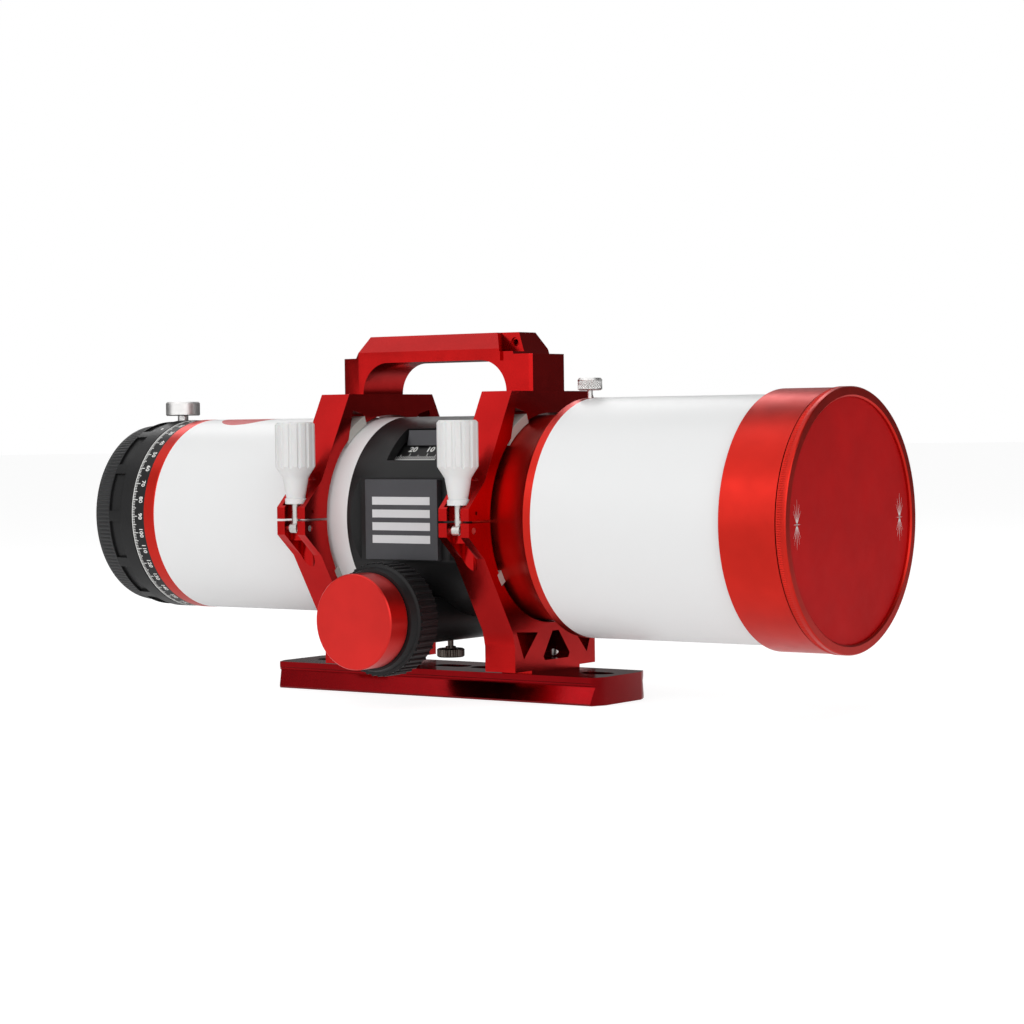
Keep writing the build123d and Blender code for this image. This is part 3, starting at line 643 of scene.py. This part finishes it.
# the focus lock: a straight-ridged head low down, then a boss and a thin end
lo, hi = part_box("focus_lock_screw")
cx, cy = (lo.x + hi.x) / 2, (lo.y + hi.y) / 2
low, r = mm(lo.z), mm(hi.x - lo.x) / 2
rows = [(low, r - 2.0), (low, r - 0.6), (low + 0.4, r - 0.1)]
rows += [(low + 0.45 + 3.1 * i / 8, r) for i in range(9)]
rows += [(low + 3.7, r - 0.2), (low + 4.0, r - 0.7), (low + 4.0, 2.6), (low + 5.0, 2.3), (low + 5.0, 1.35),
         (mm(hi.z), 1.35)]
turned_piece("focus_lock_knurled", "Z", (cx, cy, 0), rows, "bronze", "focus_lock",
             (low + 0.44, low + 3.56, 0.4, 0.0), 30)
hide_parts("focus_lock_screw")

# the rear cap's ribbed edge, round the adapter that it covers
lo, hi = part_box("rear_cap")
end, mouth, r = mm(lo.x), mm(hi.x), mm(hi.y)
rows = [(end + 5.1, r - 2.6), (mouth, r - 2.6), (mouth, r - 0.4), (mouth - 0.4, r)]
rows += [(mouth - 0.5 - 8.4 * i / 10, r - 0.06 * i) for i in range(11)]
rows += [(end + 0.5, r - 0.75), (end, r - 1.6), (end, r - 6.6), (end + 1.2, r - 6.6)]
turned_piece("rear_cap_ribbed", "X", (0, 0, AXIS_Z), rows, "plastic_black", "rear_cover",
             (mouth - 8.6, mouth - 0.6, 0.45, 0.0), 140)
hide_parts("rear_cap")

# fine knurl round the front cap's rim
lo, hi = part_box("front_cap_rim")
front, r = mm(hi.x), mm(hi.y)
rows = [(front - 12.5, r - 8.2), (front - 12.5, r - 6.15), (front - 4.9, r - 6.15), (front - 4.9, r - 0.5)]
rows += [(front - 4.5, r)]
rows += [(front - 4.4 + 2.3 * i / 6, r) for i in range(7)]
rows += [(front - 0.4, r), (front, r - 0.4), (front, r - 3.6), (front - 0.6, r - 4.3), (front - 3.5, r - 4.3),
         (front - 3.5, r - 6.3), (front - 4.6, r - 6.3), (front - 4.6, r - 8.2)]
turned_piece("front_cap_knurled", "X", (0, 0, AXIS_Z), rows, "red_turned", "front_cover",
             (front - 4.35, front - 2.2, 0.28, 0.0), 360, per=4, ring=True)
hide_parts("front_cap_rim")

# ---------------------------------------------------------------- studio
def area(name, azimuth, elevation, distance, width, height, watts):
    """A soft panel aimed at the telescope; azimuth runs from +X towards +Y, as seen from above."""
    light = bpy.data.lights.new(name, "AREA")
    light.shape = "RECTANGLE"
    light.size, light.size_y = width, height
    light.energy = watts
    obj = bpy.data.objects.new(name, light)
    a, e = math.radians(azimuth), math.radians(elevation)
    way = Vector((math.cos(e) * math.cos(a), math.cos(e) * math.sin(a), math.sin(e)))
    target = Vector((0.01, 0, AXIS_Z))
    obj.location = target + way * distance
    obj.rotation_euler = way.to_track_quat("Z", "Y").to_euler()
    obj.visible_camera = False
    bpy.context.scene.collection.objects.link(obj)


area("left_panel", -124, 27, 1.3, 0.35, 0.25, 0.35)
area("top_panel", 139, 38, 1.3, 0.75, 0.5, 3.2)
area("overhead", -60, 84, 1.6, 1.7, 1.3, 8.0)
area("back_fill", 100, 25, 2.2, 1.4, 0.9, 0.8)
area("right_fill", -22, 22, 1.5, 0.9, 0.9, 2.0)
area("upper_left", -155, 50, 1.3, 1.1, 0.75, 2.6)

world = bpy.data.worlds.new("studio")
bpy.context.scene.world = world
world.use_nodes = True
wt = world.node_tree
background = wt.nodes["Background"]
background.inputs["Color"].default_value = (1, 1, 1, 1)
# the room is a bright softbox wall to the telescope's right, with soft edges, and dim elsewhere
ROOM_DIM, ROOM_BRIGHT = 0.13, 1.45
WALL_FROM, WALL_TO = -134, -12
way = wt.nodes.new("ShaderNodeTexCoord")


def room_edge(normal, start, end):
    """1 on the side the normal points to, 0 on the other, fading between two dot products."""
    dot = wt.nodes.new("ShaderNodeVectorMath")
    dot.operation = "DOT_PRODUCT"
    dot.inputs[1].default_value = normal
    wt.links.new(way.outputs["Generated"], dot.inputs[0])
    fade = wt.nodes.new("ShaderNodeMapRange")
    fade.interpolation_type = "SMOOTHSTEP"
    fade.inputs["From Min"].default_value = start
    fade.inputs["From Max"].default_value = end
    wt.links.new(dot.outputs["Value"], fade.inputs["Value"])
    return fade.outputs[0]


def room_product(a, b):
    n = wt.nodes.new("ShaderNodeMath")
    n.operation = "MULTIPLY"
    wt.links.new(a, n.inputs[0])
    wt.links.new(b, n.inputs[1])
    return n.outputs[0]


def flat_way(azimuth):
    return (math.cos(math.radians(azimuth)), math.sin(math.radians(azimuth)), 0.0)


rear_edge = room_edge(flat_way(WALL_FROM + 90), -0.045, 0.045)
front_edge = room_edge(flat_way(WALL_TO - 90), -0.16, 0.16)
# the wall fades out between 37 and 53 degrees above the horizon
top_edge = room_edge((0.0, 0.0, -1.0), -0.80, -0.60)
wall = room_product(room_product(rear_edge, front_edge), top_edge)
level = wt.nodes.new("ShaderNodeMapRange")
level.inputs["To Min"].default_value = ROOM_DIM
level.inputs["To Max"].default_value = ROOM_BRIGHT
wt.links.new(wall, level.inputs["Value"])
wt.links.new(level.outputs[0], background.inputs["Strength"])
# the camera itself sees plain white
bright = wt.nodes.new("ShaderNodeBackground")
bright.inputs["Color"].default_value = (1, 1, 1, 1)
bright.inputs["Strength"].default_value = 1.0
path = wt.nodes.new("ShaderNodeLightPath")
mix = wt.nodes.new("ShaderNodeMixShader")
wt.links.new(path.outputs["Is Camera Ray"], mix.inputs["Fac"])
wt.links.new(background.outputs[0], mix.inputs[1])
wt.links.new(bright.outputs[0], mix.inputs[2])
wt.links.new(mix.outputs[0], wt.nodes["World Output"].inputs["Surface"])

# a wide pale floor just under the plate
FLOOR_R = 12.0
FLOOR_GAP = 0.0002
LIT_SIDE = (0.588, -0.809, 0.0)
bm = bmesh.new()
bmesh.ops.create_circle(bm, cap_ends=True, segments=96, radius=FLOOR_R)
mesh = bpy.data.meshes.new("floor")
bm.to_mesh(mesh)
bm.free()
floor = bpy.data.objects.new("floor", mesh)
floor.location = (0, 0, CAD_BOX[0][2] - FLOOR_GAP)
bpy.context.scene.collection.objects.link(floor)
s = Shader("pale_floor", (0.66, 0.66, 0.66), 0.0, 0.8)
s.set("Emission Color", (1, 1, 1, 1))
# it glows with painted bounce light on the softbox side, and its colour is painted darker on the dim side
across = s.node("ShaderNodeVectorMath", operation="DOT_PRODUCT")
across.inputs[1].default_value = LIT_SIDE
s.link(s.coords, across.inputs[0])
lit = s.node("ShaderNodeMapRange", interpolation_type="SMOOTHSTEP")
lit.inputs["From Min"].default_value = -0.42
lit.inputs["From Max"].default_value = -0.02
s.link(across.outputs["Value"], lit.inputs["Value"])
s.link(s.math("MULTIPLY", lit.outputs[0], 0.38), s.bsdf.inputs["Emission Strength"])
floor_colour = s.node("ShaderNodeValToRGB")
floor_colour.color_ramp.elements[0].color = (0.12, 0.12, 0.12, 1)
floor_colour.color_ramp.elements[1].color = (0.66, 0.66, 0.66, 1)
s.link(lit.outputs[0], floor_colour.inputs["Fac"])
s.link(floor_colour.outputs["Color"], s.bsdf.inputs["Base Color"])
# the camera sees it as an even pale grey that still takes the telescope's shadow
glow = s.node("ShaderNodeEmission")
glow.inputs["Strength"].default_value = 0.86
matte = s.node("ShaderNodeBsdfDiffuse")
matte.inputs["Color"].default_value = (0.30, 0.30, 0.30, 1)
seen = s.node("ShaderNodeAddShader")
s.link(glow.outputs[0], seen.inputs[0])
s.link(matte.outputs[0], seen.inputs[1])
pick = s.node("ShaderNodeMixShader")
s.link(s.node("ShaderNodeLightPath").outputs["Is Camera Ray"], pick.inputs["Fac"])
s.link(s.bsdf.outputs[0], pick.inputs[1])
s.link(seen.outputs[0], pick.inputs[2])
s.link(pick.outputs[0], s.nt.nodes["Material Output"].inputs["Surface"])
mesh.materials.append(s.mat)

# ---------------------------------------------------------------- camera
YAW, PITCH, ROLL = 0.626, 0.033, -0.013
CAMERA_PLACE = (0.766312, -1.014009, 0.126084)
ahead = Vector((-math.sin(YAW), math.cos(YAW), 0))
right = Vector((math.cos(YAW), math.sin(YAW), 0))
up = Vector((0, 0, 1))
look = ahead * math.cos(PITCH) - up * math.sin(PITCH)
lift = ahead * math.sin(PITCH) + up * math.cos(PITCH)
side = right * math.cos(ROLL) + lift * math.sin(ROLL)
crown = -right * math.sin(ROLL) + lift * math.cos(ROLL)
camera_data = bpy.data.cameras.new("camera")
camera_data.lens = 95.79
camera_data.sensor_width = 36.0
camera_data.clip_start = 0.05
camera_data.clip_end = 60.0
camera = bpy.data.objects.new("camera", camera_data)
turn = Matrix((side, crown, -look)).transposed().to_4x4()
camera.matrix_world = Matrix.Translation(CAMERA_PLACE) @ turn
bpy.context.scene.collection.objects.link(camera)
bpy.context.scene.camera = camera
bpy.context.scene.view_settings.view_transform = "Standard"
